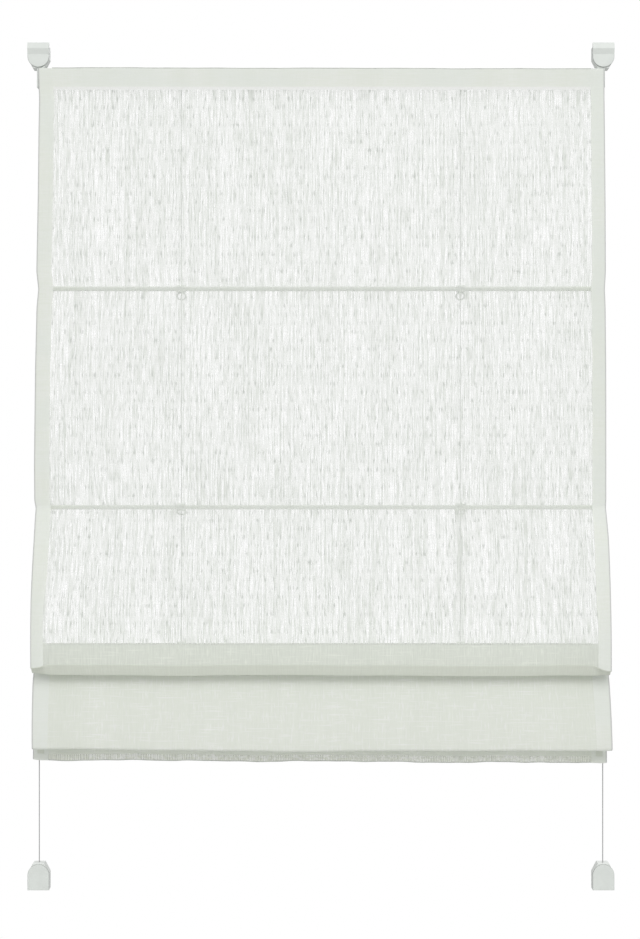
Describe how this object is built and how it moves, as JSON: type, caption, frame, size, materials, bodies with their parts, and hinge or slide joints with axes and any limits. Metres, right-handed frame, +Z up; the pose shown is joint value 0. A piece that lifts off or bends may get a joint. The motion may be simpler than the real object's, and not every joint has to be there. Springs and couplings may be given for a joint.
{
  "type": "roman blind",
  "caption": "Sheer roman blind partly drawn up: cloth on a head rail with rods, ring clips and crossing cords, a moving rail behind its folds, and clamp holders that grip a window sash",
  "frame": {"origin": "middle of the head rail's flat back, on the front face of the sash", "axes": "+X to the right seen from the room, +Y back to the window, +Z up"},
  "size_m": [0.8306, 0.084, 1.1997],
  "materials": {
    "cloth": "sheer linen-look weave with thick upright yarns",
    "rod": "drawn glass-fibre rod",
    "clip": "moulded",
    "rail": "white coated extrusion",
    "cap": "moulded",
    "tape": "woven tape",
    "cord": "braided",
    "cover": "satin moulded",
    "shoe": "satin moulded",
    "hook": "white coated bent strip",
    "anchor": "moulded",
    "spring": "drawn wire",
    "screw": "machined"
  },
  "bodies": {
    "frame": {"cloth": "cloth", "rod_1": "rod", "rod_2": "rod", "ring_clip_1_left": "clip", "ring_clip_1_right": "clip", "ring_clip_2_left": "clip", "ring_clip_2_right": "clip", "head_rail": "rail", "head_cap_left": "cap", "head_cap_right": "cap", "head_guide_left": "cap", "head_guide_right": "cap", "head_hook_tape": "tape", "head_loop_tape": "tape", "cord_a_head": "cord", "cord_a_drop": "cord", "cord_a_tail": "cord", "cord_b_head": "cord", "cord_b_drop": "cord", "cord_b_tail": "cord", "top_left_cover": "cover", "top_right_cover": "cover", "bottom_left_cover": "cover", "bottom_right_cover": "cover", "top_left_shoe": "shoe", "top_right_shoe": "shoe", "bottom_left_shoe": "shoe", "bottom_right_shoe": "shoe", "top_left_anchor": "anchor", "top_right_anchor": "anchor", "bottom_left_spring": "spring", "bottom_right_spring": "spring", "clamp_screws": "screw"},
    "stack": {"rod_3": "rod", "ring_clip_3_left": "clip", "ring_clip_3_right": "clip", "moving_rail": "rail", "moving_cap_left": "cap", "moving_cap_right": "cap", "moving_guide_left": "cap", "moving_guide_right": "cap", "moving_hook_tape": "tape", "moving_loop_tape": "tape", "cord_a_rail": "cord", "cord_b_rail": "cord"},
    "top_left_hook": {"top_left_hook": "hook"},
    "top_right_hook": {"top_right_hook": "hook"},
    "bottom_left_hook": {"bottom_left_hook": "hook"},
    "bottom_right_hook": {"bottom_right_hook": "hook"},
    "bottom_left_anchor": {"bottom_left_anchor": "anchor"},
    "bottom_right_anchor": {"bottom_right_anchor": "anchor"}
  },
  "joints": [
    {"name": "stack_lift", "type": "slide", "parent": "frame", "child": "stack", "axis": [0, 0, 1], "range_m": [-0.11, 0.17], "deforming": ["cloth", "cord_a_drop", "cord_a_tail", "cord_b_drop", "cord_b_tail"]},
    {"name": "top_left_hook_slide", "type": "slide", "parent": "frame", "child": "top_left_hook", "axis": [0, 1, 0], "range_m": [-0.005, 0.005]},
    {"name": "top_right_hook_slide", "type": "slide", "parent": "frame", "child": "top_right_hook", "axis": [0, 1, 0], "range_m": [-0.005, 0.005]},
    {"name": "bottom_left_hook_slide", "type": "slide", "parent": "frame", "child": "bottom_left_hook", "axis": [0, 1, 0], "range_m": [-0.005, 0.005]},
    {"name": "bottom_right_hook_slide", "type": "slide", "parent": "frame", "child": "bottom_right_hook", "axis": [0, 1, 0], "range_m": [-0.005, 0.005]},
    {"name": "bottom_left_tension", "type": "slide", "parent": "frame", "child": "bottom_left_anchor", "axis": [0, 0, 1], "range_m": [0, 0.005], "deforming": ["bottom_left_spring", "cord_b_tail"]},
    {"name": "bottom_right_tension", "type": "slide", "parent": "frame", "child": "bottom_right_anchor", "axis": [0, 0, 1], "range_m": [0, 0.005], "deforming": ["bottom_right_spring", "cord_a_tail"]}
  ]
}
